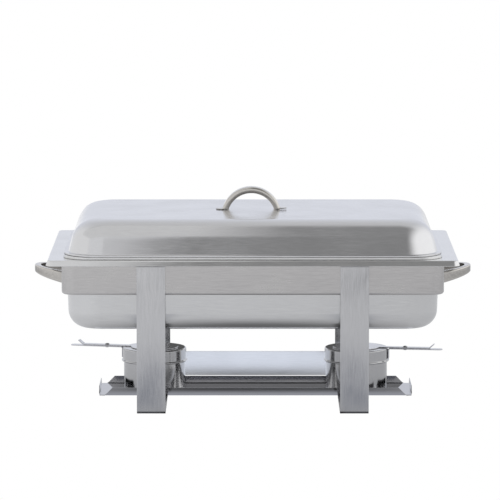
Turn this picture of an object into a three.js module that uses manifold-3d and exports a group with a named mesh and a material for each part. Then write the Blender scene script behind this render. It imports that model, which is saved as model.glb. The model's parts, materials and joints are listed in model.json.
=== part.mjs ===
// Full-size chafing dish: a pressed lid, a food pan and a water pan on a strip-steel stand,
// with two gel-fuel burners on a loose tray below.
// Millimetres. X runs along the dish, Y to the rear, Z up; the origin is on the ground below the middle.
import * as THREE from 'three';
import { mergeVertices } from 'three/addons/utils/BufferGeometryUtils.js';
import Module from 'manifold-3d';

const wasm = await Module();
wasm.setup();

// ---- driving dimensions -------------------------------------------------------------------
const GAP = 0.3;                 // clearance kept between pieces that touch

// stand
const LEG_X = 142;               // middle of each leg frame
const LEG_WIDTH = 40;
const LEG_THICKNESS = 2;
const LEG_TOP = 207.5;
const STAND_DEPTH = 330;         // outer face to outer face of the legs
const LEG_BEND = 4;              // outer radius at the ground
const RAIL_THICKNESS = 1.5;
const RAIL_BOTTOM = 171;
const RAIL_TOP = 215.5;
const BAND_LENGTH = 534;         // outer length of the band that carries the pan
const BAND_CORNER = 18;
const STRETCHER_HEIGHT = 36;

// pans and lid, all from the 530 x 325 gastronorm footprint
const GN_LENGTH = 530;
const GN_DEPTH = 325;
const FLANGE_LENGTH = 576;       // water pan flange
const FLANGE_DEPTH = 344;
const FLANGE_LIP = 8.1;          // how far its rolled edge turns down
const SHEET = 1;                 // sheet thickness of pans and lid
const WATER_BODY_LENGTH = 522;
const WATER_BODY_DEPTH = 315;
const WATER_BOTTOM = 116.5;
const WATER_CORNER = 48;         // corner radius of the body at its mouth
const WATER_BEND = 24;           // between its wall and its floor
const WATER_DRAFT = 3.5;         // how far its wall leans in on the way down
const FOOD_BODY_LENGTH = 502;
const FOOD_BODY_DEPTH = 297;
const FOOD_DEPTH = 65;
const FOOD_CORNER = 42;
const FOOD_BEND = 16;
const FOOD_DRAFT = 4;
const FOOD_RIM_CORNER = 34;
const LID_TOP = 268.5;
const LID_FLAT_LENGTH = 432;     // the flat middle of the lid's top
const LID_FLAT_DEPTH = 231;
const LID_FLAT_CORNER = 18;
const LID_CROWN = 52;            // radius of the gentle bend around the flat
const LID_CROWN_TURN = 16;       // degrees that this bend turns through
const LID_SHOULDER = 34;         // radius of the tighter bend down to the wall
const LID_WALL_LEAN = 14;        // degrees from the vertical
const LID_FOOT_CORNER = 50;      // corner radius at the foot of the wall
const LID_RIM_HEIGHT = 2.2;

// bow handles: a pressed channel bent to an arch, with a foot tab at each end
const BOW_SPAN = 83;             // outer width of the arch
const BOW_WIDTH = 18;
const BOW_CHANNEL = 8.5;         // depth of the channel
const BOW_WALL = 1.2;
const LID_BOW_RISE = 32.2;
const LID_BOW_X = -2;            // the lid's handle is welded on slightly left of the middle
const END_BOW_REACH = 45;
const END_BOW_TILT = 12;         // degrees that the end handles point up
const END_BOW_Z = 175;
const BOW_ROUND = 3;             // outer radius along the channel's edges
const FOOT_TAB = 9;

// burner tray and burners
const TRAY_LENGTH = 448;
const TRAY_DEPTH = 104;
const TRAY_LIP = 10.5;
const TRAY_NOTCH = 8;            // from a tray corner to the foot of each lip
const TRAY_X = 4;
const TRAY_Y = 32;
const BURNER_OFFSET = 146;       // from the middle of the tray to each burner
const CUP_RADIUS = 44.25;
const CAP_RADIUS = 46;
const CUP_WALL = 0.8;
const CUP_FOOT = 4;              // bevel around the cup's foot
const BURNER_HEIGHT = 60.2;
const CAP_SKIRT = 19.5;
const CAP_BEAD = 3;              // rolled bead along the skirt's lower edge
const CAP_COLLAR = 3.5;          // how far the flame hole's edge turns down
const FLAME_HOLE_RADIUS = 29;
const COVER_RADIUS = 34;
const PIVOT_REACH = 71;          // burner middle to the cover's pivot
const COVER_LEVER_END = 113;
const CAP_HANDLE_END = 125;
const STRIP = 1.2;               // thickness of burner handle strips
const STRIP_DROP = 0.3;          // from the cap's top down to its handle
const RIVET_HOLE = 2.3;          // radius
const HANDLE_WIDTH = 12;
const LEVER_WIDTH = 10;
const THUMB_TAB = 9;
const THUMB_TAB_LEAN = 50;       // degrees from the vertical
const LEFT_BURNER_TURN = 167;    // degrees, where each burner's handle points
const RIGHT_BURNER_TURN = -8;

// heights that follow
const FLANGE_UNDER = RAIL_TOP + GAP;
const FLANGE_TOP = FLANGE_UNDER + SHEET;
const FOOD_FLANGE_TOP = FLANGE_TOP + GAP + 3;
const LID_BOTTOM = FOOD_FLANGE_TOP + GAP;
const LEG_INSIDE_Y = STAND_DEPTH / 2 - LEG_THICKNESS;
const RAIL_OUTSIDE_Y = LEG_INSIDE_Y - GAP;
const TRAY_BOTTOM = LEG_THICKNESS + GAP;
const CUP_BOTTOM = TRAY_BOTTOM + SHEET + GAP;

// ---- materials ----------------------------------------------------------------------------
const steel = (color, roughness) => new THREE.MeshStandardMaterial({ color, roughness, metalness: 1 });
const finishes = {
  polished: () => steel(0xcdd0d6, 0.12),
  brushed: () => steel(0xb9b6b4, 0.3),
  strip: () => steel(0xb4b4b8, 0.25),
  burner: () => steel(0xa9a9ac, 0.2),
};

const dish = new THREE.Group();

function piece(name, geometry, material, parent = dish) {
  const mesh = new THREE.Mesh(geometry, material);
  mesh.name = name;
  parent.add(mesh);
  return mesh;
}

// ---- geometry helpers ---------------------------------------------------------------------
const radians = THREE.MathUtils.degToRad;
const vec = (x, y, z) => new THREE.Vector3(x, y, z);

function signedVolume(points, faces) {
  const scaled = ([a, b, c]) => points[a].dot(points[b].clone().cross(points[c]));
  return faces.reduce((sum, face) => sum + scaled(face), 0);
}

function polyhedron(points, faces) {
  const outward = signedVolume(points, faces) > 0 ? faces : faces.map(([a, b, c]) => [a, c, b]);
  const geometry = new THREE.BufferGeometry();
  const position = points.flatMap((p) => [p.x, p.y, p.z]);
  geometry.setAttribute('position', new THREE.Float32BufferAttribute(position, 3));
  geometry.setIndex(outward.flat());
  const flat = geometry.toNonIndexed();
  flat.computeVertexNormals();
  return flat;
}

// A closed skin through rings of equal point counts; capStart and capEnd are the end rings in 2D.
function loft(rings, capStart, capEnd) {
  const count = rings[0].length;
  const points = rings.flat();
  const faces = [];
  for (let r = 0; r + 1 < rings.length; r += 1) {
    for (let i = 0; i < count; i += 1) {
      const j = (i + 1) % count;
      const [a, b, c, d] = [r * count + i, r * count + j, (r + 1) * count + j, (r + 1) * count + i];
      faces.push([a, b, c], [a, c, d]);
    }
  }
  const last = (rings.length - 1) * count;
  for (const [a, b, c] of THREE.ShapeUtils.triangulateShape(capStart, [])) {
    faces.push([a, c, b]);
  }
  for (const [a, b, c] of THREE.ShapeUtils.triangulateShape(capEnd, [])) {
    faces.push([last + a, last + b, last + c]);
  }
  return polyhedron(points, faces);
}

// Points of a rounded rectangle, anticlockwise, with the same count whatever the radius.
function roundedRectangle(length, depth, radius, steps) {
  const points = [];
  const corners = [[1, 1, 0], [-1, 1, 90], [-1, -1, 180], [1, -1, 270]];
  for (const [sx, sy, start] of corners) {
    for (let i = 0; i <= steps; i += 1) {
      const angle = radians(start + (90 * i) / steps);
      const x = sx * (length / 2 - radius) + radius * Math.cos(angle);
      const y = sy * (depth / 2 - radius) + radius * Math.sin(angle);
      points.push(new THREE.Vector2(x, y));
    }
  }
  return points;
}

// A pressed shell: profile is a list of [length, depth, corner radius, height].
function pressing(profile, steps = 7) {
  const outlines = profile.map(([length, depth, radius]) => roundedRectangle(length, depth, radius, steps));
  const rings = outlines.map((outline, i) => outline.map((p) => vec(p.x, p.y, profile[i][3])));
  return loft(rings, outlines[0], outlines[outlines.length - 1]);
}

// A section swept through stations; each station has an origin and the directions of section x and y.
function sweep(section, stations) {
  const rings = stations.map(({ origin, u, v }) =>
    section.map((p) => origin.clone().addScaledVector(u, p.x).addScaledVector(v, p.y)));
  return loft(rings, section, section);
}

// An outline in the XY plane pulled up by a height.
function plate(shape, height, curveSegments = 12) {
  return new THREE.ExtrudeGeometry(shape, { depth: height, bevelEnabled: false, curveSegments });
}

function outlineShape(points) {
  return new THREE.Shape(points.map(([x, y]) => new THREE.Vector2(x, y)));
}

function solid(geometry) {
  const bare = geometry.clone();
  bare.deleteAttribute('normal');
  bare.deleteAttribute('uv');
  const merged = mergeVertices(bare, 1e-4);
  const triVerts = merged.index
    ? new Uint32Array(merged.index.array)
    : Uint32Array.from({ length: merged.attributes.position.count }, (_, i) => i);
  const vertProperties = new Float32Array(merged.attributes.position.array);
  return new wasm.Manifold(new wasm.Mesh({ numProp: 3, vertProperties, triVerts }));
}

function geometryOf(body) {
  const mesh = body.getMesh();
  const geometry = new THREE.BufferGeometry();
  geometry.setAttribute('position', new THREE.Float32BufferAttribute(mesh.vertProperties, 3));
  geometry.setIndex(Array.from(mesh.triVerts));
  const flat = geometry.toNonIndexed();
  flat.computeVertexNormals();
  return flat;
}

const union = (...geometries) => geometryOf(geometries.map(solid).reduce((a, b) => a.add(b)));

// ---- stand --------------------------------------------------------------------------------

// Offset outline of a strip bent at right angles: an arc of points around each bend.
function arc(cx, cy, radius, from, to, steps) {
  return Array.from({ length: steps + 1 }, (_, i) => {
    const angle = radians(from + ((to - from) * i) / steps);
    return [cx + radius * Math.cos(angle), cy + radius * Math.sin(angle)];
  });
}

function legFrame(name, x) {
  const half = STAND_DEPTH / 2;
  const inner = LEG_BEND - LEG_THICKNESS;
  const outside = [
    [-half, LEG_TOP],
    ...arc(-half + LEG_BEND, LEG_BEND, LEG_BEND, 180, 270, 5),
    ...arc(half - LEG_BEND, LEG_BEND, LEG_BEND, 270, 360, 5),
    [half, LEG_TOP],
  ];
  const inside = [
    [half - LEG_THICKNESS, LEG_TOP],
    ...arc(half - LEG_BEND, LEG_BEND, inner, 360, 270, 3),
    ...arc(-half + LEG_BEND, LEG_BEND, inner, 270, 180, 3),
    [-half + LEG_THICKNESS, LEG_TOP],
  ];
  const strip = plate(outlineShape([...outside, ...inside]), LEG_WIDTH);
  strip.translate(0, 0, -LEG_WIDTH / 2);
  strip.rotateX(Math.PI / 2);
  strip.rotateZ(Math.PI / 2);
  strip.translate(x, 0, 0);
  piece(name, strip, finishes.strip());
}

function straightRail(name, y) {
  const length = 2 * LEG_X - GAP;
  const rail = new THREE.BoxGeometry(length, RAIL_THICKNESS, RAIL_TOP - RAIL_BOTTOM);
  const mesh = piece(name, rail, finishes.brushed());
  mesh.position.set(0, y, (RAIL_TOP + RAIL_BOTTOM) / 2);
}

function endRail(name, side) {
  const endX = BAND_LENGTH / 2;
  const endY = RAIL_OUTSIDE_Y;
  const inner = BAND_CORNER - RAIL_THICKNESS;
  const [cx, cy] = [endX - BAND_CORNER, endY - BAND_CORNER];
  const outside = [
    [LEG_X + GAP / 2, -endY],
    ...arc(cx, -cy, BAND_CORNER, -90, 0, 8),
    ...arc(cx, cy, BAND_CORNER, 0, 90, 8),
    [LEG_X + GAP / 2, endY],
  ];
  const inside = [
    [LEG_X + GAP / 2, endY - RAIL_THICKNESS],
    ...arc(cx, cy, inner, 90, 0, 8),
    ...arc(cx, -cy, inner, 0, -90, 8),
    [LEG_X + GAP / 2, -endY + RAIL_THICKNESS],
  ];
  const rail = plate(outlineShape([...outside, ...inside]), RAIL_TOP - RAIL_BOTTOM);
  const mesh = piece(name, rail, finishes.brushed());
  mesh.position.z = RAIL_BOTTOM;
  mesh.rotation.z = side > 0 ? 0 : Math.PI;
}

function lowerStretcher() {
  const length = 2 * LEG_X + LEG_WIDTH;
  const strip = new THREE.BoxGeometry(length, RAIL_THICKNESS, STRETCHER_HEIGHT);
  const mesh = piece('lower_rear_stretcher', strip, finishes.brushed());
  mesh.position.set(0, STAND_DEPTH / 2 + GAP + RAIL_THICKNESS / 2, STRETCHER_HEIGHT / 2 + GAP);
}

// ---- pans and lid -------------------------------------------------------------------------

// Angles in equal steps, in radians, from degrees.
function angles(from, to, steps) {
  return Array.from({ length: steps + 1 }, (_, i) => radians(from + ((to - from) * i) / steps));
}

// One skin of a pan: the rings of its floor bend from the floor up, and the ring at its mouth.
function panBody(length, depth, mouthCorner, top, bottom, bend, draft) {
  const lean = (z) => (2 * draft * (top - z)) / (top - bottom);
  const ring = (inset, z) => {
    const shrink = lean(Math.max(z, bottom + bend)) + 2 * inset;
    return [length - shrink, depth - shrink, mouthCorner - shrink / 4, z];
  };
  const floorBend = angles(0, 90, 5).map((a) => {
    const inset = bend * (1 - Math.sin(a));
    return ring(inset, bottom + bend * (1 - Math.cos(a)));
  });
  return { floorBend, mouth: ring(0, top) };
}

function waterPan() {
  const outer = panBody(WATER_BODY_LENGTH, WATER_BODY_DEPTH, WATER_CORNER,
    FLANGE_UNDER, WATER_BOTTOM, WATER_BEND, WATER_DRAFT);
  const inner = panBody(WATER_BODY_LENGTH - 2 * SHEET, WATER_BODY_DEPTH - 2 * SHEET, WATER_CORNER - SHEET,
    FLANGE_TOP, WATER_BOTTOM + SHEET, WATER_BEND - SHEET, WATER_DRAFT);
  const lipTop = (inset, drop) =>
    [FLANGE_LENGTH - 2 * inset, FLANGE_DEPTH - 2 * inset, 10 - inset * 0.8, FLANGE_TOP - drop];
  const profile = [
    ...outer.floorBend,
    outer.mouth,
    [FLANGE_LENGTH - 8, FLANGE_DEPTH - 8, 7, FLANGE_UNDER],
    lipTop(2.2, 2.4),
    lipTop(1.4, 5),
    lipTop(1.4, FLANGE_LIP),
    lipTop(0, FLANGE_LIP),
    lipTop(0, 3.6),
    lipTop(1, 1.2),
    lipTop(3.4, 0),
    inner.mouth,
    ...inner.floorBend.reverse(),
  ];
  piece('water_pan', pressing(profile), finishes.brushed());
}

function foodPan() {
  const under = FOOD_FLANGE_TOP - SHEET;
  const bottom = FOOD_FLANGE_TOP - FOOD_DEPTH;
  const outer = panBody(FOOD_BODY_LENGTH, FOOD_BODY_DEPTH, FOOD_CORNER,
    under, bottom, FOOD_BEND, FOOD_DRAFT);
  const inner = panBody(FOOD_BODY_LENGTH - 2 * SHEET, FOOD_BODY_DEPTH - 2 * SHEET, FOOD_CORNER - SHEET,
    FOOD_FLANGE_TOP, bottom + SHEET, FOOD_BEND - SHEET, FOOD_DRAFT);
  const rim = (inset, z) => [GN_LENGTH - 2 * inset, GN_DEPTH - 2 * inset, FOOD_RIM_CORNER - inset, z];
  const profile = [
    ...outer.floorBend,
    outer.mouth,
    rim(2.4, under),
    rim(1.3, under - 0.8),
    rim(1.2, FLANGE_TOP + GAP),
    rim(0, FLANGE_TOP + GAP),
    rim(0, FOOD_FLANGE_TOP - 1.3),
    rim(0.5, FOOD_FLANGE_TOP - 0.4),
    rim(1.6, FOOD_FLANGE_TOP),
    inner.mouth,
    ...inner.floorBend.reverse(),
  ];
  piece('food_pan', pressing(profile), finishes.polished());
}

// One skin of the lid: rings from the flat of its top over the crown and shoulder to the wall's foot.
function lidSkin(offset) {
  const top = LID_TOP - offset;
  const crown = LID_CROWN - offset;
  const shoulder = LID_SHOULDER - offset;
  const turn = radians(LID_CROWN_TURN);
  const lean = radians(LID_WALL_LEAN);
  const section = angles(0, LID_CROWN_TURN, 3).map((a) => [crown * Math.sin(a), crown * (1 - Math.cos(a))]);
  const [crownOut, crownDown] = section[section.length - 1];
  for (const a of angles(LID_CROWN_TURN, 90 - LID_WALL_LEAN, 6).slice(1)) {
    const out = crownOut + shoulder * (Math.sin(a) - Math.sin(turn));
    section.push([out, crownDown + shoulder * (Math.cos(turn) - Math.cos(a))]);
  }
  const [wallOut, wallDown] = section[section.length - 1];
  const footDown = top - LID_BOTTOM - LID_RIM_HEIGHT;
  const footOut = wallOut + (footDown - wallDown) * Math.tan(lean);
  section.push([footOut, footDown]);
  const widening = (LID_FOOT_CORNER - offset - LID_FLAT_CORNER) / footOut;
  return section.map(([out, down]) =>
    [LID_FLAT_LENGTH + 2 * out, LID_FLAT_DEPTH + 2 * out, LID_FLAT_CORNER + widening * out, top - down]);
}

function lidShell() {
  const rim = (inset, rise) =>
    [GN_LENGTH - 2 * inset, GN_DEPTH - 2 * inset, LID_FOOT_CORNER + 2 - inset, LID_BOTTOM + rise];
  const under = LID_BOTTOM + LID_RIM_HEIGHT - SHEET;
  const profile = [
    ...lidSkin(0),
    rim(1.2, LID_RIM_HEIGHT),
    rim(0.2, 1.6),
    rim(0, 0.8),
    rim(0.6, 0),
    rim(3.6, 0),
    ...lidSkin(SHEET).map(([l, d, r, z]) => [l, d, r, Math.max(z, under)]).reverse(),
  ];
  piece('lid_shell', pressing(profile), finishes.brushed());
}

// ---- bow handles --------------------------------------------------------------------------

// Section of the channel: x across the handle, y outward from the arch's middle.
function channelSection() {
  const half = BOW_WIDTH / 2;
  const wall = BOW_WALL;
  const round = BOW_ROUND;
  const inner = round - wall;
  const outer = [
    ...arc(half - round, -round, round, 0, 90, 4),
    ...arc(-half + round, -round, round, 90, 180, 4),
    [-half, -BOW_CHANNEL],
    [-half + wall, -BOW_CHANNEL],
    ...arc(-half + round, -round, inner, 180, 90, 3),
    ...arc(half - round, -round, inner, 90, 0, 3),
    [half - wall, -BOW_CHANNEL],
    [half, -BOW_CHANNEL],
  ];
  return outer.map(([x, y]) => new THREE.Vector2(x, y));
}

// Stations along a low arch: one arc of a circle through both feet and the crest, the feet cut level.
function arcStations(half, rise, steps) {
  const radius = (half ** 2 + rise ** 2) / (2 * rise);
  const start = THREE.MathUtils.radToDeg(Math.acos(half / radius));
  return angles(180 - start, start, steps).map((a, i) => {
    const [c, s] = [Math.cos(a), Math.sin(a)];
    const atFoot = i === 0 || i === steps;
    const v = atFoot ? vec(1 / c, 0, 0) : vec(c, 0, s);
    return { origin: vec(radius * c, 0, rise - radius + radius * s), u: vec(0, -1, 0), v };
  });
}

// Stations along a tall arch: two straight legs and a half circle.
function hoopStations(half, rise, steps) {
  const leg = rise - half;
  const hoop = angles(180, 0, steps).map((a) => {
    const [c, s] = [Math.cos(a), Math.sin(a)];
    return { origin: vec(half * c, 0, leg + half * s), u: vec(0, -1, 0), v: vec(c, 0, s) };
  });
  const foot = (side) => ({ origin: vec(side * half, 0, 0), u: vec(0, -1, 0), v: vec(side, 0, 0) });
  return [foot(-1), ...hoop, foot(1)];
}

// An arch standing on the XY plane, spanning X, with a tab at each foot.
function bow(rise) {
  const half = BOW_SPAN / 2;
  const stations = rise < half ? arcStations(half, rise, 20) : hoopStations(half, rise, 20);
  const arch = sweep(channelSection(), stations);
  const tab = (side) => {
    const radius = BOW_WIDTH / 2;
    const foot = new THREE.Shape();
    foot.moveTo(-BOW_CHANNEL, -radius);
    foot.absarc(FOOT_TAB - radius, 0, radius, -Math.PI / 2, Math.PI / 2, false);
    foot.lineTo(-BOW_CHANNEL, radius);
    const geometry = plate(foot, BOW_WALL, 8);
    if (side < 0) geometry.rotateZ(Math.PI);
    return geometry.translate(side * half, 0, 0);
  };
  return union(arch, tab(-1), tab(1));
}

function lidHandle() {
  const mesh = piece('lid_handle', bow(LID_BOW_RISE), finishes.burner());
  mesh.position.set(LID_BOW_X, 0, LID_TOP + GAP);
}

function endHandle(name, side) {
  const bowed = bow(END_BOW_REACH);
  bowed.rotateZ(Math.PI / 2);                       // the arch now spans Y
  bowed.rotateY(Math.PI / 2);                       // and reaches out along +X
  const rise = Math.tan(radians(END_BOW_TILT));     // and leans up, its feet still flat on the rail
  bowed.applyMatrix4(new THREE.Matrix4().makeShear(0, rise, 0, 0, 0, 0));
  const mesh = piece(name, bowed, finishes.burner());
  mesh.position.set(side * (BAND_LENGTH / 2 + GAP), 0, END_BOW_Z);
  mesh.rotation.z = side > 0 ? 0 : Math.PI;
}

// ---- burner tray and burners --------------------------------------------------------------

function burnerTray() {
  const [halfX, halfY] = [TRAY_LENGTH / 2, TRAY_DEPTH / 2];
  const floor = new THREE.BoxGeometry(TRAY_LENGTH, TRAY_DEPTH, SHEET).translate(0, 0, SHEET / 2);
  const lip = (length) => {
    const foot = length / 2 - TRAY_NOTCH;
    const brow = foot - TRAY_LIP;
    const face = outlineShape([[-foot, 0], [foot, 0], [brow, TRAY_LIP], [-brow, TRAY_LIP]]);
    return plate(face, SHEET).rotateX(Math.PI / 2).translate(0, SHEET / 2, 0);
  };
  const frontLip = lip(TRAY_LENGTH).translate(0, -halfY + SHEET / 2, 0);
  const rearLip = lip(TRAY_LENGTH).translate(0, halfY - SHEET / 2, 0);
  const leftLip = lip(TRAY_DEPTH).rotateZ(Math.PI / 2).translate(-halfX + SHEET / 2, 0, 0);
  const rightLip = lip(TRAY_DEPTH).rotateZ(Math.PI / 2).translate(halfX - SHEET / 2, 0, 0);
  const tray = union(floor, frontLip, rearLip, leftLip, rightLip);
  const mesh = piece('burner_tray', tray, finishes.polished());
  mesh.position.set(TRAY_X, TRAY_Y, TRAY_BOTTOM);
}

const lathe = (points, segments = 36) =>
  new THREE.LatheGeometry(points.map(([r, z]) => new THREE.Vector2(r, z)), segments).rotateX(Math.PI / 2);

function fuelCup(name, parent) {
  const top = BURNER_HEIGHT - SHEET - GAP - 0.2;
  const inside = CUP_RADIUS - CUP_WALL;
  const cup = lathe([
    [0, 0],
    [CUP_RADIUS - CUP_FOOT, 0],
    [CUP_RADIUS - 1.2, 1.2],
    [CUP_RADIUS, CUP_FOOT],
    [CUP_RADIUS, top],
    [inside, top],
    [inside, CUP_FOOT + 0.3],
    [CUP_RADIUS - CUP_FOOT - 0.3, CUP_WALL],
    [0, CUP_WALL],
  ]);
  piece(name, cup, finishes.burner(), parent);
}

function burnerCap(name, parent) {
  const skirtBottom = BURNER_HEIGHT - CAP_SKIRT;
  const inside = CUP_RADIUS + GAP;
  const collarBottom = BURNER_HEIGHT - SHEET - CAP_COLLAR;
  const cap = lathe([
    [FLAME_HOLE_RADIUS, collarBottom],
    [FLAME_HOLE_RADIUS + SHEET, collarBottom],
    [FLAME_HOLE_RADIUS + SHEET, BURNER_HEIGHT - SHEET],
    [inside, BURNER_HEIGHT - SHEET],
    [inside, skirtBottom],
    [CAP_RADIUS + 0.9, skirtBottom],
    [CAP_RADIUS + 1.5, skirtBottom + CAP_BEAD / 2],
    [CAP_RADIUS + 0.9, skirtBottom + CAP_BEAD - 0.4],
    [CAP_RADIUS, skirtBottom + CAP_BEAD],
    [CAP_RADIUS, BURNER_HEIGHT - 1.6],
    [CAP_RADIUS - 1.6, BURNER_HEIGHT],
    [FLAME_HOLE_RADIUS, BURNER_HEIGHT],
    [FLAME_HOLE_RADIUS, collarBottom],
  ]);
  piece(name, cap, finishes.burner(), parent);
}

// The round hole that the pivot's shaft turns in.
function rivetHole() {
  const hole = new THREE.Path();
  hole.absarc(PIVOT_REACH, 0, RIVET_HOLE, 0, 2 * Math.PI, true);
  return hole;
}

// The strip that carries the pivot: a leg down the collar, then straight out, one piece.
function capHandle(name, parent) {
  const half = HANDLE_WIDTH / 2;
  const root = CAP_RADIUS + GAP;
  const shape = new THREE.Shape();
  shape.moveTo(root, -half);
  shape.lineTo(CAP_HANDLE_END - half, -half);
  shape.absarc(CAP_HANDLE_END - half, 0, half, -Math.PI / 2, Math.PI / 2, false);
  shape.lineTo(root, half);
  shape.holes.push(rivetHole());
  const top = BURNER_HEIGHT - STRIP_DROP;
  const arm = plate(shape, STRIP, 10).translate(0, 0, top - STRIP);
  const legHeight = CAP_SKIRT - CAP_BEAD - STRIP;
  const leg = new THREE.BoxGeometry(STRIP, HANDLE_WIDTH, legHeight);
  leg.translate(root + STRIP / 2, 0, top - legHeight / 2);
  piece(name, union(arm, leg), finishes.strip(), parent);
}

// The flame cover: a disc over the hole, its neck, the lever past the pivot and a thumb tab.
function swivelCover(name, parent) {
  const half = LEVER_WIDTH / 2;
  const neck = Math.sqrt(COVER_RADIUS ** 2 - half ** 2);
  const spread = Math.asin(half / COVER_RADIUS);
  const tabLean = radians(THUMB_TAB_LEAN);
  const leverEnd = COVER_LEVER_END - THUMB_TAB * Math.sin(tabLean);
  const shape = new THREE.Shape();
  shape.moveTo(neck, -half);
  shape.lineTo(leverEnd, -half);
  shape.lineTo(leverEnd, half);
  shape.lineTo(neck, half);
  shape.absarc(0, 0, COVER_RADIUS, spread, 2 * Math.PI - spread, false);
  shape.holes.push(rivetHole());
  const lever = plate(shape, STRIP, 24);
  const tab = new THREE.BoxGeometry(STRIP, LEVER_WIDTH, THUMB_TAB).translate(0, 0, THUMB_TAB / 2);
  tab.rotateY(tabLean).translate(leverEnd - STRIP / 2, 0, STRIP / 2);
  const mesh = piece(name, union(lever, tab), finishes.strip(), parent);
  mesh.position.z = BURNER_HEIGHT + GAP;
}

function pivotRivet(name, parent) {
  const under = BURNER_HEIGHT - STRIP_DROP - STRIP - GAP;
  const over = BURNER_HEIGHT + GAP + STRIP + GAP;
  const rivet = lathe([
    [0, under - 1.2], [3, under - 1.2], [3.8, under], [2, under], [2, over],
    [3.8, over], [3, over + 1.1], [0, over + 1.5],
  ], 16);
  const mesh = piece(name, rivet, finishes.burner(), parent);
  mesh.position.x = PIVOT_REACH;
}

function burner(side, x, turn) {
  const group = new THREE.Group();
  group.position.set(x, TRAY_Y, CUP_BOTTOM);
  group.rotation.z = radians(turn);
  dish.add(group);
  fuelCup(`${side}_fuel_cup`, group);
  burnerCap(`${side}_burner_cap`, group);
  capHandle(`${side}_cap_handle`, group);
  swivelCover(`${side}_swivel_cover`, group);
  pivotRivet(`${side}_pivot_rivet`, group);
}

// ---- assembly -----------------------------------------------------------------------------
legFrame('left_leg_frame', -LEG_X);
legFrame('right_leg_frame', LEG_X);
straightRail('front_rail', -RAIL_OUTSIDE_Y + RAIL_THICKNESS / 2);
straightRail('rear_rail', RAIL_OUTSIDE_Y - RAIL_THICKNESS / 2);
endRail('left_end_rail', -1);
endRail('right_end_rail', 1);
lowerStretcher();
endHandle('left_end_handle', -1);
endHandle('right_end_handle', 1);
waterPan();
foodPan();
lidShell();
lidHandle();
burnerTray();
burner('left', TRAY_X - BURNER_OFFSET, LEFT_BURNER_TURN);
burner('right', TRAY_X + BURNER_OFFSET, RIGHT_BURNER_TURN);

export default dish;
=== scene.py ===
# Looks for a full-size chafing dish: pressed steel lid and pans on a strip-steel stand,
# two gel burners on a loose tray. Metres; X along the dish, Y to the rear, Z up.
import json
import math

import bmesh
import bpy
from mathutils import Matrix, Vector


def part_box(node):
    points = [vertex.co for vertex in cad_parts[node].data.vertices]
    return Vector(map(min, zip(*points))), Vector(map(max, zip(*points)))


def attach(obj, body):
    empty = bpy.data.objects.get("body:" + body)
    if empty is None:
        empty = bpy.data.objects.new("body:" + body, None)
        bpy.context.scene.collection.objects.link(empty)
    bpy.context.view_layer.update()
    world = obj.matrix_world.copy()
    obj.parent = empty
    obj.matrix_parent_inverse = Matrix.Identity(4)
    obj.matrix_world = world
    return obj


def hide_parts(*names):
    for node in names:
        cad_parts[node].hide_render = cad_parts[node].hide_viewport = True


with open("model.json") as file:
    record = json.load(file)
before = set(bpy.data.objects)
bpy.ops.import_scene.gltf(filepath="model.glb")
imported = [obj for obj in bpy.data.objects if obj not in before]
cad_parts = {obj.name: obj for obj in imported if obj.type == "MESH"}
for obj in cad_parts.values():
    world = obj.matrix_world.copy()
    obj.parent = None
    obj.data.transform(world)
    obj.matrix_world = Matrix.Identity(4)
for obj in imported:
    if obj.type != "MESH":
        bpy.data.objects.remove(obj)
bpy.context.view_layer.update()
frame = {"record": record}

MM = 0.001
QUARTER = math.pi / 2
BODIES = frame["record"]["behaviour"]["bodies"]
BODY_OF = {node: body for body, nodes in BODIES.items() for node in nodes}

# ---- sizes that the frame's boxes don't give -----------------------------------------------
SHEET = 1 * MM                       # pans, lid, tray and burner caps
CORNER_STEPS = 20                    # facets in a quarter turn of a pressed corner

LID_FLAT = (216 * MM, 115.5 * MM)    # half sizes of the flat middle of the lid
LID_FLAT_CORNER = 18 * MM
LID_CROWN = 52 * MM                  # gentle first bend off the flat
LID_CROWN_TURN = 16                  # degrees
LID_SHOULDER = 34 * MM
LID_WALL_LEAN = 14                   # degrees from the vertical
LID_FOOT_CORNER = 50 * MM
LID_RIM_HEIGHT = 2.2 * MM

WATER_BODY = (261 * MM, 157.5 * MM)  # half sizes of the water pan's mouth
WATER_CORNER = 48 * MM
WATER_BEND = 24 * MM
WATER_DRAFT = 3.5 * MM
FLANGE_LIP = 8.1 * MM
FLANGE_CORNER = 10 * MM
LIP_FLARE = 17                       # degrees that the flange's lip spreads on its way down
FOOD_BODY = (251 * MM, 148.5 * MM)
FOOD_CORNER = 42 * MM
FOOD_BEND = 16 * MM
FOOD_DRAFT = 4 * MM
FOOD_RIM_CORNER = 34 * MM
FOOD_RIM_HEIGHT = 3 * MM

LEG_BEND = 4 * MM
LEG_THICKNESS = 2 * MM
RAIL_THICKNESS = 1.5 * MM
BAND_CORNER = 18 * MM
RAIL_HEM = 3 * MM

BOW_SPAN = 83 * MM
BOW_WIDTH = 18 * MM
BOW_CHANNEL = 8.5 * MM
BOW_ROUND = 3 * MM
BOW_WALL = 1.2 * MM
BOW_TAB = 9 * MM
END_BOW_TILT = 12                    # degrees
END_BOW_TAPER = 0.35                 # share of its width that the bow loses by its crest

TRAY_NOTCH = 8 * MM                  # from a tray corner to the foot of each lip
TRAY_FOLD = 1.3 * MM
CAP_BEAD = 3 * MM
CAP_COLLAR = 3.5 * MM
FLAME_HOLE = 29 * MM
COVER_RADIUS = 34 * MM
LEVER_WIDTH = 10 * MM
HANDLE_WIDTH = 12 * MM
THUMB_TAB = 9 * MM
THUMB_TAB_LEAN = 50                  # degrees from the vertical
STRIP = 1.2 * MM
BURNER_TURN = {"left": 167, "right": -8}   # degrees, where each burner's handle points


# ---- mesh helpers --------------------------------------------------------------------------
def arc(centre, radius, start, stop, steps):
    """Points of a circular arc, start and stop included; angles in degrees."""
    angles = [math.radians(start + (stop - start) * i / steps) for i in range(steps + 1)]
    return [(centre[0] + radius * math.cos(a), centre[1] + radius * math.sin(a)) for a in angles]


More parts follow.
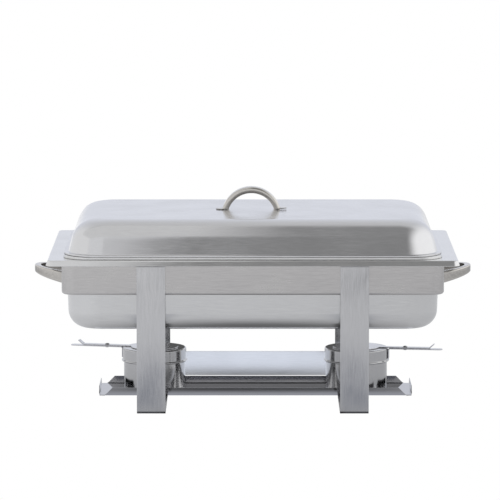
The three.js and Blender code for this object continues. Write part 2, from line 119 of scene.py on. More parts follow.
def only(kind, geometry):
    return [item for item in geometry if isinstance(item, kind)]


def chain(bm, points):
    """Vertices and edges through the points, in order."""
    verts = [bm.verts.new(point) for point in points]
    return verts, [bm.edges.new(pair) for pair in zip(verts, verts[1:])]


def pull(bm, edges, offset=None, place=None):
    """Extrude edges, then shift the new row by offset, or move each vertex where place puts it."""
    made = bmesh.ops.extrude_edge_only(bm, edges=edges)["geom"]
    verts = set(only(bmesh.types.BMVert, made))
    for v in verts:
        v.co = v.co + Vector(offset) if offset else place(v)
    return [e for e in only(bmesh.types.BMEdge, made) if set(e.verts) <= verts]


def fill(bm, edges):
    bmesh.ops.edgeloop_fill(bm, edges=edges)


def raise_rings(bm, profile, steps=CORNER_STEPS):
    """A pressing, raised ring by ring; each ring is (half length, half depth, corner radius, height)."""
    per_corner = steps + 1
    station = bm.verts.layers.int.new("station")
    ring = bmesh.ops.create_circle(bm, segments=4 * per_corner, radius=1)["verts"]
    ring.sort(key=lambda v: math.atan2(v.co.y, v.co.x) % math.tau)
    for number, v in enumerate(ring):
        v[station] = number

    def settle(v, half_x, half_y, corner, height):
        turn, step = divmod(v[station], per_corner)
        angle = QUARTER * (turn + step / steps)
        side_x = 1 if turn in (0, 3) else -1
        side_y = 1 if turn < 2 else -1
        return Vector((side_x * (half_x - corner) + corner * math.cos(angle),
                       side_y * (half_y - corner) + corner * math.sin(angle), height))

    for v in ring:
        v.co = settle(v, *profile[0])
    first = edges = list({e for v in ring for e in v.link_edges})
    for place in profile[1:]:
        edges = pull(bm, edges, place=lambda v: settle(v, *place))
    return first, edges


def lathe(bm, points, steps=72):
    """Spin a chain of (radius, height) points once round the Z axis."""
    verts, edges = chain(bm, [(radius, 0, height) for radius, height in points])
    bmesh.ops.spin(bm, geom=verts + edges, cent=(0, 0, 0), axis=(0, 0, 1), angle=math.tau,
                   steps=steps, use_merge=True)


def finish_piece(name, bm, finish, nodes, thickness=0, offset=-1, edge=0, angle=40):
    """Turn a bmesh into a smooth-shaded piece that stands for CAD nodes and rides on their body."""
    bmesh.ops.remove_doubles(bm, verts=bm.verts[:], dist=1e-6)
    bmesh.ops.recalc_face_normals(bm, faces=bm.faces[:])
    mesh = bpy.data.meshes.new(name)
    bm.to_mesh(mesh)
    bm.free()
    mesh.shade_smooth()
    piece = bpy.data.objects.new(name, mesh)
    bpy.context.scene.collection.objects.link(piece)
    if thickness:
        solidify = piece.modifiers.new("sheet", "SOLIDIFY")
        solidify.thickness = thickness
        solidify.offset = offset
        solidify.use_even_offset = True
    if edge:
        bevel = piece.modifiers.new("edges", "BEVEL")
        bevel.width = edge
        bevel.segments = 2
        bevel.limit_method = "ANGLE"
        bevel.angle_limit = math.radians(angle)
    weighted = piece.modifiers.new("shading", "WEIGHTED_NORMAL")
    weighted.keep_sharp = True
    mesh.materials.append(FINISH[finish])
    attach(piece, BODY_OF[nodes[0]])
    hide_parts(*nodes)
    return piece


# ---- finishes ------------------------------------------------------------------------------
def steel_finish(name, tone, roughness, grain=(60, 900, 900), grain_depth=0.05, smudge=0.06, wave=0.0):
    """Stainless steel: fine rolled grain along one axis, faint handling marks, a slow waviness."""
    material = bpy.data.materials.new(name)
    material.use_nodes = True
    nodes, links = material.node_tree.nodes, material.node_tree.links
    shader = nodes["Principled BSDF"]
    shader.inputs["Metallic"].default_value = 1
    place = nodes.new("ShaderNodeTexCoord")

    def noise(scale, detail, coordinates):
        texture = nodes.new("ShaderNodeTexNoise")
        texture.inputs["Scale"].default_value = scale
        texture.inputs["Detail"].default_value = detail
        links.new(coordinates, texture.inputs["Vector"])
        return texture.outputs["Fac"]

    def remap(value, low, high):
        spread = nodes.new("ShaderNodeMapRange")
        spread.inputs["From Min"].default_value = 0.3
        spread.inputs["From Max"].default_value = 0.7
        spread.inputs["To Min"].default_value = low
        spread.inputs["To Max"].default_value = high
        links.new(value, spread.inputs["Value"])
        return spread.outputs["Result"]

    stretch = nodes.new("ShaderNodeMapping")
    stretch.inputs["Scale"].default_value = grain
    links.new(place.outputs["Object"], stretch.inputs["Vector"])
    lines = noise(1, 3, stretch.outputs["Vector"])
    marks = noise(18, 4, place.outputs["Object"])

    rough = nodes.new("ShaderNodeMath")
    rough.operation = "ADD"
    links.new(remap(lines, -grain_depth / 2, grain_depth / 2), rough.inputs[0])
    links.new(remap(marks, roughness - smudge / 3, roughness + smudge), rough.inputs[1])
    links.new(rough.outputs["Value"], shader.inputs["Roughness"])

    shade = nodes.new("ShaderNodeMix")
    shade.data_type = "RGBA"
    shade.inputs["A"].default_value = [c * 0.96 for c in tone] + [1]
    shade.inputs["B"].default_value = [min(1, c * 1.03) for c in tone] + [1]
    links.new(remap(lines, 0, 1), shade.inputs["Factor"])
    links.new(shade.outputs["Result"], shader.inputs["Base Color"])

    bump = nodes.new("ShaderNodeBump")
    bump.inputs["Strength"].default_value = 0.12
    bump.inputs["Distance"].default_value = 0.02 * MM
    links.new(lines, bump.inputs["Height"])
    if wave:
        swell = nodes.new("ShaderNodeBump")
        swell.inputs["Strength"].default_value = 1
        swell.inputs["Distance"].default_value = wave
        links.new(noise(7, 1, place.outputs["Object"]), swell.inputs["Height"])
        links.new(swell.outputs["Normal"], bump.inputs["Normal"])
    links.new(bump.outputs["Normal"], shader.inputs["Normal"])
    return material


FINISH = {
    "lid": steel_finish("lid_satin_steel", (0.62, 0.62, 0.63), 0.17, wave=0.25 * MM),
    "pan": steel_finish("pan_bright_steel", (0.66, 0.66, 0.66), 0.16, wave=0.15 * MM),
    "rail": steel_finish("rail_rolled_steel", (0.54, 0.53, 0.525), 0.22),
    "leg": steel_finish("leg_rolled_steel", (0.6, 0.6, 0.608), 0.16, grain=(900, 900, 60)),
    # Painted light: the stretcher's steel is much paler than the other steel, so that it reads as brightly lit.
    "stretcher": steel_finish("stretcher_painted_light_steel", (0.86, 0.87, 0.89), 0.3),
    "bow": steel_finish("handle_pressed_steel", (0.55, 0.53, 0.50), 0.14, grain=(300, 300, 300)),
    "tray": steel_finish("tray_mirror_steel", (0.37, 0.37, 0.385), 0.06, wave=0.1 * MM),
    "burner": steel_finish("burner_spun_steel", (0.48, 0.48, 0.485), 0.10, grain=(200, 200, 900)),
    "strip": steel_finish("lever_strip_steel", (0.55, 0.55, 0.57), 0.14),
}


# ---- lid and pans --------------------------------------------------------------------------
def lid():
    low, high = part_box("lid_shell")
    crown = [(x, LID_CROWN - y) for x, y in arc((0, 0), LID_CROWN, 90, 90 - LID_CROWN_TURN, 5)]
    crown_out, crown_down = crown[-1]
    start, stop = 90 - LID_CROWN_TURN, LID_WALL_LEAN
    hub = (crown_out - LID_SHOULDER * math.cos(math.radians(start)),
           -crown_down - LID_SHOULDER * math.sin(math.radians(start)))
    shoulder = [(x, -y) for x, y in arc(hub, LID_SHOULDER, start, stop, 14)[1:]]
    wall_out, wall_down = shoulder[-1]
    foot_down = high.z - low.z - LID_RIM_HEIGHT
    lean = math.tan(math.radians(LID_WALL_LEAN))
    foot_out = wall_out + (foot_down - wall_down) * lean
    root = 1.6 * MM                                   # fillet between wall and rim
    fillet = [(x, -y) for x, y in arc((foot_out + root, -foot_down + root), root, 180 + LID_WALL_LEAN, 270, 4)]
    fillet = [(out, down) for out, down in fillet if out > wall_out]
    widening = (LID_FOOT_CORNER - LID_FLAT_CORNER) / foot_out
    profile = [(LID_FLAT[0] + out, LID_FLAT[1] + out, LID_FLAT_CORNER + widening * out, high.z - down)
               for out, down in crown + shoulder + fillet]
    roll = 0.5 * MM                                   # the rim turns down to an upright edge
    edge = arc((-roll, low.z + LID_RIM_HEIGHT - roll), roll, 90, 0, 4) + [(0, low.z)]
    for x, z in edge:
        profile.append((high.x + x, high.y + x, LID_FOOT_CORNER + 2 * MM + x, z))
    bm = bmesh.new()
    flat, _ = raise_rings(bm, profile)
    fill(bm, flat)
    return finish_piece("lid_pressing", bm, "lid", ["lid_shell"], SHEET, edge=0.15 * MM, angle=60)


def pan_rings(mouth, corner, top, bottom, bend, draft):
    """Rings from the edge of a pan's floor up its bend and wall to its mouth."""
    rings = []
    for x, y in arc((0, 0), bend, -90, 0, 12):
        rings.append((bend - x, bottom + bend + y))
    rings = [(inset + draft * (top - max(z, bottom + bend)) / (top - bottom), z) for inset, z in rings]
    rings.append((0, top))
    return [(mouth[0] - inset, mouth[1] - inset, corner - inset, z) for inset, z in rings]


def water_pan():
    low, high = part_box("water_pan")
    soft = 2 * MM
    profile = pan_rings(WATER_BODY, WATER_CORNER, high.z - soft, low.z, WATER_BEND, WATER_DRAFT)
    for x, y in arc((soft, high.z - soft), soft, 180, 90, 4)[1:]:
        profile.append((WATER_BODY[0] + x, WATER_BODY[1] + x, WATER_CORNER, y))
    roll = 2.4 * MM
    hem = 0.6 * MM
    flare = math.tan(math.radians(LIP_FLARE)) * (FLANGE_LIP - roll - hem)
    lip = arc((-roll - flare, high.z - roll), roll, 90, LIP_FLARE, 7)
    lip += arc((-hem, high.z - FLANGE_LIP + hem), hem, LIP_FLARE, -90, 4)
    for x, z in lip:
        profile.append((high.x + x, high.y + x, FLANGE_CORNER + x, z))
    bm = bmesh.new()
    floor, _ = raise_rings(bm, profile)
    fill(bm, floor)
    return finish_piece("water_pan_pressing", bm, "pan", ["water_pan"], SHEET,
                        edge=0.15 * MM, angle=60)


def food_pan():
    low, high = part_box("food_pan")
    soft = 3 * MM
    profile = pan_rings(FOOD_BODY, FOOD_CORNER, high.z - soft, low.z, FOOD_BEND, FOOD_DRAFT)
    for x, y in arc((soft, high.z - soft), soft, 180, 90, 4)[1:]:
        profile.append((FOOD_BODY[0] + x, FOOD_BODY[1] + x, FOOD_CORNER, y))
    roll = 0.6 * MM
    for x, y in arc((-roll, high.z - roll), roll, 90, 0, 4):
        profile.append((high.x + x, high.y + x, FOOD_RIM_CORNER + x, y))
    profile.append((high.x, high.y, FOOD_RIM_CORNER, high.z - FOOD_RIM_HEIGHT))
    bm = bmesh.new()
    floor, _ = raise_rings(bm, profile)
    fill(bm, floor)
    return finish_piece("food_pan_pressing", bm, "pan", ["food_pan"], SHEET,
                        edge=0.15 * MM, angle=60)


# ---- stand ---------------------------------------------------------------------------------
def bent_strip(name, points, across, finish, node, thickness):
    """A strip bent along a chain of points, as wide as across is long."""
    bm = bmesh.new()
    _, edges = chain(bm, points)
    pull(bm, edges, offset=across)
    return finish_piece(name, bm, finish, [node], thickness, offset=0, edge=0.35 * MM, angle=60)


def leg_frame(side):
    node = f"{side}_leg_frame"
    low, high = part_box(node)
    inset = LEG_THICKNESS / 2
    bend = LEG_BEND - inset
    half = high.y - inset
    ground = low.z + inset
    path = [(-half, high.z)] + arc((-half + bend, ground + bend), bend, 180, 270, 8)
    path += arc((half - bend, ground + bend), bend, 270, 360, 8) + [(half, high.z)]
    points = [(low.x, y, z) for y, z in path]
    bent_strip(f"{side}_leg_strip", points, (high.x - low.x, 0, 0), "leg", node, LEG_THICKNESS)


def straight_strip(name, node, finish):
    low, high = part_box(node)
    middle = (low.y + high.y) / 2
    points = [(low.x, middle, low.z), (high.x, middle, low.z)]
    bent_strip(name, points, (0, 0, high.z - low.z), finish, node, high.y - low.y)


def rail(name, node):
    """One side of the band round the pan, cut from the whole band; its lower edge turns in as a hem."""
    left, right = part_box("left_end_rail")[0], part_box("right_end_rail")[1]
    half_x, half_y = (right.x - left.x) / 2, (right.y - left.y) / 2
    skin = RAIL_THICKNESS / 2
    rows = [(skin, right.z)] + [(skin + RAIL_HEM + x, z) for x, z in arc((0, left.z), RAIL_HEM, 180, 270, 6)]
    bm = bmesh.new()
    raise_rings(bm, [(half_x - inset, half_y - inset, BAND_CORNER - inset, z) for inset, z in rows])
    low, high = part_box(node)
    cuts = [((low.x, 0, 0), (-1, 0, 0)), ((high.x, 0, 0), (1, 0, 0))]
    if high.x - low.x > high.y - low.y:
        cuts.append(((0, 0, 0), (0, math.copysign(1, -low.y), 0)))
    for place, outward in cuts:
        bmesh.ops.bisect_plane(bm, geom=bm.verts[:] + bm.edges[:] + bm.faces[:], plane_co=place,
                               plane_no=outward, clear_outer=True, dist=1e-7)
    return finish_piece(name, bm, "rail", [node], RAIL_THICKNESS, offset=0, edge=0.3 * MM, angle=60)


# ---- bow handles ---------------------------------------------------------------------------
def bow(rise):
    """A pressed channel arch over X with a tab at each foot, standing on Z = 0."""
    half = BOW_SPAN / 2
    side = BOW_WIDTH / 2
    radius = half if rise > half else (half ** 2 + rise ** 2) / (2 * rise)
    crest = radius - rise
    section = [(-side, -BOW_CHANNEL)] + arc((-side + BOW_ROUND, -BOW_ROUND), BOW_ROUND, 180, 90, 5)
    section += arc((side - BOW_ROUND, -BOW_ROUND), BOW_ROUND, 90, 0, 5) + [(side, -BOW_CHANNEL)]
    bm = bmesh.new()
    tab_half = (BOW_TAB + BOW_CHANNEL) / 2
    outline, _ = raise_rings(bm, [(tab_half, side, side - 0.2 * MM, BOW_WALL)], steps=10)
    fill(bm, outline)
    bmesh.ops.translate(bm, verts=bm.verts[:], vec=(half + BOW_TAB - tab_half, 0, 0))
    verts, edges = chain(bm, [(0, y, rise + depth) for y, depth in section])
    sweep = QUARTER if rise > half else math.asin(half / radius) + math.radians(12)
    spun = bmesh.ops.spin(bm, geom=verts + edges, cent=(0, 0, -crest), axis=(0, 1, 0), angle=sweep,
                          steps=22, use_merge=False)
    if rise > half:
        pull(bm, only(bmesh.types.BMEdge, spun["geom_last"]), offset=(0, 0, half - rise))
    everything = bm.verts[:] + bm.edges[:] + bm.faces[:]
    bmesh.ops.bisect_plane(bm, geom=everything, plane_co=(0, 0, 0), plane_no=(0, 0, -1), clear_outer=True,
                           dist=1e-7)
    bmesh.ops.mirror(bm, geom=bm.verts[:] + bm.edges[:] + bm.faces[:], merge_dist=1e-6, axis="X")
    return bm


def lid_handle():
    low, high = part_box("lid_handle")
    bm = bow(high.z - low.z)
    bmesh.ops.translate(bm, verts=bm.verts[:], vec=((low.x + high.x) / 2, 0, low.z))
    return finish_piece("lid_handle_bow", bm, "bow", ["lid_handle"], BOW_WALL)


def end_handle(side):
    node = f"{side}_end_handle"
    low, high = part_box(node)
    reach = high.x - low.x
    bm = bow(reach)
    for v in bm.verts:
        v.co.y *= 1 - END_BOW_TAPER * max(0, v.co.z) / reach
    stand_up = Matrix.Rotation(QUARTER, 4, "Y") @ Matrix.Rotation(QUARTER, 4, "Z")
    lean = Matrix.Identity(4)
    lean[2][0] = math.tan(math.radians(END_BOW_TILT))
    turn = Matrix.Rotation(0 if side == "right" else math.pi, 4, "Z")
    root = Vector((low.x if side == "right" else high.x, 0, low.z + BOW_WIDTH / 2))
    bmesh.ops.transform(bm, verts=bm.verts[:], matrix=Matrix.Translation(root) @ turn @ lean @ stand_up)
    return finish_piece(f"{side}_end_bow", bm, "bow", [node], BOW_WALL)


# ---- tray and burners ----------------------------------------------------------------------
def tray():
    low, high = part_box("burner_tray")
    centre = (low + high) / 2
    half_x, half_y = (high.x - low.x) / 2, (high.y - low.y) / 2
    rise = high.z - low.z
    bm = bmesh.new()
    bmesh.ops.create_grid(bm, x_segments=1, y_segments=1, size=1)
    bmesh.ops.scale(bm, verts=bm.verts[:], vec=(half_x, half_y, 1))
    for axis, half in (((1, 0, 0), half_x), ((0, 1, 0), half_y)):
        for side in (-1, 1):
            cut = Vector(axis) * side * (half - TRAY_NOTCH)
            bmesh.ops.bisect_plane(bm, geom=bm.verts[:] + bm.edges[:] + bm.faces[:], plane_co=cut, plane_no=axis)
    folds = []
    for along, half, length in ((0, half_y, half_x), (1, half_x, half_y)):
        for side in (-1, 1):
            foot = [e for e in bm.edges if e.is_boundary
                    and all(abs(v.co[1 - along] - side * half) < 1e-6 and v.co.z < 1e-6 for v in e.verts)
                    and all(abs(v.co[along]) < length - TRAY_NOTCH / 2 for v in e.verts)]

            def brow(v):
                top = v.co.copy()
                top[along] -= math.copysign(rise, top[along])
                top.z = rise
                return top

            pull(bm, foot, place=brow)
            folds += foot
    bmesh.ops.bevel(bm, geom=folds, offset=TRAY_FOLD, offset_type="OFFSET", affect="EDGES", segments=4,
                    profile=0.5, material=-1)
    bmesh.ops.translate(bm, verts=bm.verts[:], vec=(centre.x, centre.y, low.z))
    bmesh.ops.recalc_face_normals(bm, faces=bm.faces[:])
    return finish_piece("burner_tray_sheet", bm, "tray", ["burner_tray"], SHEET,
                        edge=0.4 * MM, angle=50)


def burner(side):
    def name(part):
        return f"{side}_{part}"

    cup_low, cup_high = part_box(name("fuel_cup"))
    middle = (cup_low + cup_high) / 2
    cap_low, cap_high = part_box(name("burner_cap"))
    base = Matrix.Translation((middle.x, middle.y, 0)) @ Matrix.Rotation(math.radians(BURNER_TURN[side]), 4, "Z")

    def place(bm):
        bmesh.ops.transform(bm, verts=bm.verts[:], matrix=base)
        return bm

    # cup: flat floor with a small recess, rounded foot, straight wall
    radius = (cup_high.x - cup_low.x) / 2
    foot = 3.5 * MM
    bm = bmesh.new()
    wall = [(0, cup_low.z + 1.5 * MM), (radius - 9 * MM, cup_low.z + 1.5 * MM), (radius - 7.5 * MM, cup_low.z)]
    wall += arc((radius - foot, cup_low.z + foot), foot, -90, 0, 6) + [(radius, cup_high.z)]
    lathe(bm, wall)
    finish_piece(name("cup_shell"), place(bm), "burner", [name("fuel_cup")], 0.8 * MM)

    # cap: collar of the flame hole, flat top, rolled shoulder, skirt and its bead
    skirt = (cap_high.x - cap_low.x) / 2 - 1.5 * MM
    soft = 1.8 * MM
    hole = [(FLAME_HOLE, cap_high.z - SHEET - CAP_COLLAR)]
    hole += arc((FLAME_HOLE + soft, cap_high.z - soft), soft, 180, 90, 4)
    shoulder = arc((skirt - soft, cap_high.z - soft), soft, 90, 0, 5)
    bead_middle = cap_low.z + CAP_BEAD / 2
    bead = [(skirt, cap_low.z + CAP_BEAD + 0.6 * MM)] + arc((skirt, bead_middle), CAP_BEAD / 2, 80, -90, 8)
    bm = bmesh.new()
    lathe(bm, hole + shoulder + bead)
    finish_piece(name("cap_shell"), place(bm), "burner", [name("burner_cap")], SHEET)

    # handle strip: down the skirt, over a bend and straight out
    arm_low, arm_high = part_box(name("cap_handle"))
    bend = 2 * MM
    root = skirt + 0.3 * MM + STRIP / 2
    level = arm_high.z - STRIP / 2
    reach = skirt + (125 - 46) * MM
    path = [(root, arm_low.z)] + arc((root + bend, level - bend), bend, 180, 90, 5) + [(reach, level)]
    bm = bmesh.new()
    _, edges = chain(bm, [(x, -HANDLE_WIDTH / 2, z) for x, z in path])
    pull(bm, edges, offset=(0, HANDLE_WIDTH, 0))
    tips = [v for v in bm.verts if v.co.x > reach - 1e-6]
    bmesh.ops.bevel(bm, geom=tips, offset=HANDLE_WIDTH * 0.42, offset_type="OFFSET", affect="VERTICES",
                    segments=5, profile=0.5, material=-1)
    finish_piece(name("handle_strip"), place(bm), "strip", [name("cap_handle")], STRIP,
                 offset=0, edge=0.25 * MM, angle=60)

    # cover: a disc over the flame hole, drawn out to a lever with an upturned thumb tab
    cover_low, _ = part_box(name("swivel_cover"))
    under = cover_low.z + STRIP / 2
    bm = bmesh.new()
    disc = bmesh.ops.create_circle(bm, cap_ends=True, segments=64, radius=COVER_RADIUS)["verts"]
    bmesh.ops.rotate(bm, verts=disc, matrix=Matrix.Rotation(math.pi / 64, 3, "Z"))
    neck = [e for e in bm.edges if all(v.co.x > 0 and abs(v.co.y) < LEVER_WIDTH * 0.55 for v in e.verts)]
    lean = math.radians(THUMB_TAB_LEAN)
    lever_end = (113 - 9 * math.sin(lean)) * MM
    lever = pull(bm, neck, place=lambda v: Vector((lever_end, v.co.y, 0)))
    pull(bm, lever, offset=(THUMB_TAB * math.sin(lean), 0, THUMB_TAB * math.cos(lean)))
    bmesh.ops.translate(bm, verts=bm.verts[:], vec=(0, 0, under))
    finish_piece(name("cover_plate"), place(bm), "strip", [name("swivel_cover")], STRIP,
                 offset=0, edge=0.25 * MM, angle=50)

    # rivet: domed head above and below on a thin shaft
    pin_low, pin_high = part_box(name("pivot_rivet"))
    pin = (pin_low + pin_high) / 2
    head = (pin_high.x - pin_low.x) / 2
    shaft = 2 * MM
    dome = 1.5 * MM
    lower = [(0, pin_low.z), (head * 0.6, pin_low.z + 0.25 * MM), (head, pin_low.z + dome), (shaft, pin_low.z + dome)]
    upper = [(shaft, pin_high.z - dome), (head, pin_high.z - dome), (head * 0.6, pin_high.z - 0.25 * MM),
             (0, pin_high.z)]
    bm = bmesh.new()
    lathe(bm, lower + upper, steps=24)
    bmesh.ops.translate(bm, verts=bm.verts[:], vec=(pin.x, pin.y, 0))
    finish_piece(name("rivet_pin"), bm, "burner", [name("pivot_rivet")], edge=0.2 * MM, angle=50)


# ---- stage ---------------------------------------------------------------------------------
def white_for_the_camera(tree, shade):
    """Mix plain white, seen straight on, with the given shader for everything else."""
    nodes, links = tree.nodes, tree.links
    path = nodes.new("ShaderNodeLightPath")
    mix = nodes.new("ShaderNodeMixShader")
    kind = "ShaderNodeBackground" if tree is bpy.context.scene.world.node_tree else "ShaderNodeEmission"
    white = nodes.new(kind)
    links.new(path.outputs["Is Camera Ray"], mix.inputs["Fac"])
    links.new(shade, mix.inputs[1])
    links.new(white.outputs[0], mix.inputs[2])
    return mix.outputs["Shader"]


def ramp(tree, value, stops):
    node = tree.nodes.new("ShaderNodeValToRGB")
    elements = node.color_ramp.elements
    node.color_ramp.interpolation = "B_SPLINE"
    while len(elements) < len(stops):
        elements.new(0.5)
    for element, (position, colour) in zip(elements, stops):
        element.position = position
        element.color = (*colour, 1)
    tree.links.new(value, node.inputs["Fac"])
    return node.outputs["Color"]


def grey(value, blue=0.0):
    return (value * (1 - blue), value * (1 - blue / 2), value * (1 + blue))


ROOM_REAR = [(0, grey(0.88, 0.06)), (0.4, grey(0.9, 0.05)), (0.7, grey(0.8, 0.02)), (1, grey(0.75))]
ROOM_FRONT = [(0, grey(1.15)), (0.1, grey(1.1)), (0.2, grey(0.36)), (0.35, grey(0.30)), (0.7, grey(0.34)), (1, grey(0.34))]


def room():
    """What the steel reflects: a pale cool room behind and beside the dish, dimmer overhead and in front."""
    world = bpy.data.worlds.new("room")
    bpy.context.scene.world = world
    world.use_nodes = True
    tree = world.node_tree
    nodes, links = tree.nodes, tree.links
    direction = nodes.new("ShaderNodeTexCoord")
    split = nodes.new("ShaderNodeSeparateXYZ")
    links.new(direction.outputs["Generated"], split.inputs["Vector"])

    def between(value, low, high, to_low=0, to_high=1):
        spread = nodes.new("ShaderNodeMapRange")
        spread.interpolation_type = "SMOOTHSTEP"
        spread.inputs["From Min"].default_value = low
        spread.inputs["From Max"].default_value = high
        spread.inputs["To Min"].default_value = to_low
        spread.inputs["To Max"].default_value = to_high
        links.new(value, spread.inputs["Value"])
        return spread.outputs["Result"]

    def blend(share, first, second):
        mix = nodes.new("ShaderNodeMix")
        mix.data_type = "RGBA"
        links.new(share, mix.inputs["Factor"])
        links.new(first, mix.inputs["A"])
        links.new(second, mix.inputs["B"])
        return mix.outputs["Result"]

    aside = nodes.new("ShaderNodeMath")
    aside.operation = "ABSOLUTE"
    links.new(split.outputs["X"], aside.inputs[0])
    rear = ramp(tree, split.outputs["Z"], ROOM_REAR)
    front = ramp(tree, split.outputs["Z"], ROOM_FRONT)
    walls = between(split.outputs["X"], -1, 1, 1.0, 1.3)
    around = blend(between(split.outputs["Y"], 0.0, 0.42), front, rear)
    whole = blend(between(aside.outputs["Value"], 0.3, 0.8), around, walls)
    background = nodes["Background"]
    links.new(whole, background.inputs["Color"])
    links.new(white_for_the_camera(tree, background.outputs["Background"]), nodes["World Output"].inputs["Surface"])


def stage_plane(name, size, place, turn=(0, 0, 0)):
    bm = bmesh.new()
    bmesh.ops.create_grid(bm, x_segments=1, y_segments=1, size=0.5)
    bmesh.ops.scale(bm, verts=bm.verts[:], vec=(*size, 1))
    mesh = bpy.data.meshes.new(name)
    bm.to_mesh(mesh)
    bm.free()
    plane = bpy.data.objects.new(name, mesh)
    bpy.context.scene.collection.objects.link(plane)
    plane.location = place
    plane.rotation_euler = turn
    material = bpy.data.materials.new(name)
    material.use_nodes = True
    mesh.materials.append(material)
    return plane, material.node_tree


FLOOR_REACH = 3.0
# Floor tones as reflections see them, by distance from the middle: a painted shadow dark under and just round the dish,
# a painted darker ring further out, near white far off.
FLOOR_PAINTED_TONES = [(0.0, 0.12), (0.05, 0.17), (0.075, 0.48), (0.11, 0.7), (0.3, 0.74), (0.41, 0.8), (0.48, 0.42), (0.56, 0.36),
               (0.65, 0.95), (1.0, 1.05)]


def floor():
    """A table top: plain white to look at; where the steel mirrors it, painted shade: a painted shadow under and round
    the dish, and painted light brighter to the left.
    """
    _, tree = stage_plane("floor", (60, 60), (0, 0, -0.0003))
    nodes, links = tree.nodes, tree.links
    position = nodes.new("ShaderNodeTexCoord")
    length = nodes.new("ShaderNodeVectorMath")
    length.operation = "LENGTH"
    links.new(position.outputs["Object"], length.inputs[0])
    scaled = nodes.new("ShaderNodeMath")
    scaled.operation = "DIVIDE"
    scaled.inputs[1].default_value = FLOOR_REACH
    links.new(length.outputs["Value"], scaled.inputs[0])
    colour = ramp(tree, scaled.outputs["Value"], [(place, grey(tone, 0.02)) for place, tone in FLOOR_PAINTED_TONES])
    split = nodes.new("ShaderNodeSeparateXYZ")
    links.new(position.outputs["Object"], split.inputs["Vector"])
    # Painted light: the floor glows brighter towards the left (-X) and dimmer towards the right.
    painted_left_light = nodes.new("ShaderNodeMapRange")
    painted_left_light.interpolation_type = "SMOOTHSTEP"
    painted_left_light.inputs["From Min"].default_value = -0.9
    painted_left_light.inputs["From Max"].default_value = 0.6
    painted_left_light.inputs["To Min"].default_value = 1.14
    painted_left_light.inputs["To Max"].default_value = 0.93
    links.new(split.outputs["X"], painted_left_light.inputs["Value"])
    glow = nodes.new("ShaderNodeEmission")
    links.new(colour, glow.inputs["Color"])
    links.new(painted_left_light.outputs["Result"], glow.inputs["Strength"])
    links.new(white_for_the_camera(tree, glow.outputs["Emission"]), nodes["Material Output"].inputs["Surface"])


def soft_card(name, size, place, turn, tone, fade, first_only=False):
    """A card that only reflections see, or only the first of them; it fades over a share of its size."""
    _, tree = stage_plane(name, size, place, turn)
    nodes, links = tree.nodes, tree.links
    position = nodes.new("ShaderNodeTexCoord")
    split = nodes.new("ShaderNodeSeparateXYZ")
    links.new(position.outputs["Object"], split.inputs["Vector"])
    cover = None
    for axis, length, share in (("X", size[0], fade[0]), ("Y", size[1], fade[1])):
        off = nodes.new("ShaderNodeMath")
        off.operation = "ABSOLUTE"
        links.new(split.outputs[axis], off.inputs[0])
        soft = nodes.new("ShaderNodeMapRange")
        soft.interpolation_type = "SMOOTHSTEP"
        soft.inputs["From Min"].default_value = length / 2
        soft.inputs["From Max"].default_value = length / 2 * (1 - share)
        links.new(off.outputs["Value"], soft.inputs["Value"])
        if cover is None:
            cover = soft.outputs["Result"]
        else:
            both = nodes.new("ShaderNodeMath")
            both.operation = "MULTIPLY"
            links.new(cover, both.inputs[0])
            links.new(soft.outputs["Result"], both.inputs[1])
            cover = both.outputs["Value"]
    glow = nodes.new("ShaderNodeEmission")
    glow.inputs["Color"].default_value = (*tone, 1)
    clear = nodes.new("ShaderNodeBsdfTransparent")
    seen = nodes.new("ShaderNodeLightPath")
    shown = nodes.new("ShaderNodeMath")
    shown.operation = "COMPARE" if first_only else "GREATER_THAN"
    shown.inputs[1].default_value = 1 if first_only else 0.5
    shown.inputs[2].default_value = 0.5
    links.new(seen.outputs["Ray Depth"], shown.inputs[0])
    hidden = nodes.new("ShaderNodeMath")
    hidden.operation = "MULTIPLY"
    links.new(cover, hidden.inputs[0])
    links.new(shown.outputs["Value"], hidden.inputs[1])
    mix = nodes.new("ShaderNodeMixShader")
    links.new(hidden.outputs["Value"], mix.inputs["Fac"])
    links.new(clear.outputs["BSDF"], mix.inputs[1])
    links.new(glow.outputs["Emission"], mix.inputs[2])
    links.new(mix.outputs["Shader"], nodes["Material Output"].inputs["Surface"])


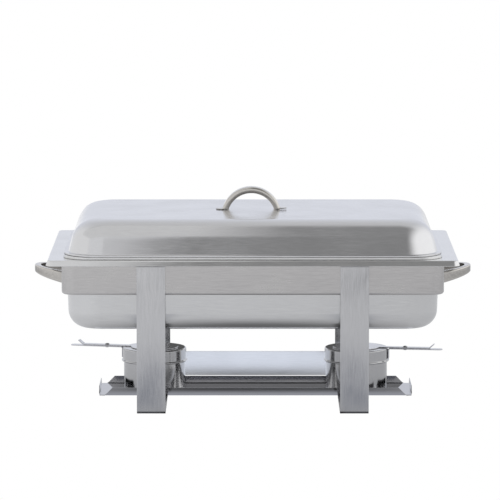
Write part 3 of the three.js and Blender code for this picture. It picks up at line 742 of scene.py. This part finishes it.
def cards():
    """Pale screens to the left, in front and overhead; shaded floor by the legs; a bounce behind the tray."""
    screen = grey(0.92, 0.01)
    soft_card("front_left_screen", (1.7, 1.5), (-0.985, -1.2, 1.0), (QUARTER, math.radians(6), 0), screen, (0.07, 0.15))
    soft_card("overhead_left_screen", (1.9, 1.7), (-0.88, -0.52, 1.25), (0, 0, 0), grey(0.84), (0.17, 0.3))
    for x in (-1, 1):
        soft_card(f"leg_shade_{x}", (0.055, 0.66), (x * 0.148, -0.44, 0.0006), (0, 0, 0), grey(0.36, 0.08), (0.4, 0.6))
        soft_card(f"foot_shade_{x}", (0.05, 0.345), (x * 0.142, 0, 0.0003), (0, 0, 0), grey(0.04), (0.1, 0.02))
        soft_card(f"gap_shade_{x}", (0.026, 0.09), (x * 0.111, 0.13, 0.075), (QUARTER, 0, 0), grey(0.12), (0.2, 0.1),
                  first_only=True)
    soft_card("tray_bounce", (0.5, 0.12), (0.004, -0.02, 0.0008), (0, 0, 0), grey(0.75, 0.05), (0.05, 0.8),
              first_only=True)
    soft_card("stretcher_bounce", (0.3, 0.042), (0.0, 0.125, 0.022), (QUARTER, 0, 0), (0.8, 0.84, 0.93), (0.05, 0.1),
              first_only=True)


def camera():
    """A little above the dish and far away on a long lens."""
    lens = bpy.data.cameras.new("camera")
    lens.sensor_width = 36
    lens.lens = 273.7
    lens.clip_end = 100
    view = bpy.data.objects.new("camera", lens)
    bpy.context.scene.collection.objects.link(view)
    elevation = math.radians(7.52)
    back = Vector((0, -math.cos(elevation), math.sin(elevation)))
    view.location = Vector((-0.0039, 0, 0.2094)) + 5.45 * back
    view.rotation_euler = (-back).to_track_quat("-Z", "Y").to_euler()
    bpy.context.scene.camera = view


# ---- build ---------------------------------------------------------------------------------
lid()
lid_handle()
water_pan()
food_pan()
for side in ("left", "right"):
    leg_frame(side)
    rail(f"{side}_end_strip", f"{side}_end_rail")
    end_handle(side)
    burner(side)
rail("front_rail_strip", "front_rail")
rail("rear_rail_strip", "rear_rail")
straight_strip("lower_stretcher_strip", "lower_rear_stretcher", "stretcher")
tray()
room()
floor()
cards()
camera()

bpy.context.scene.view_settings.view_transform = "Standard"
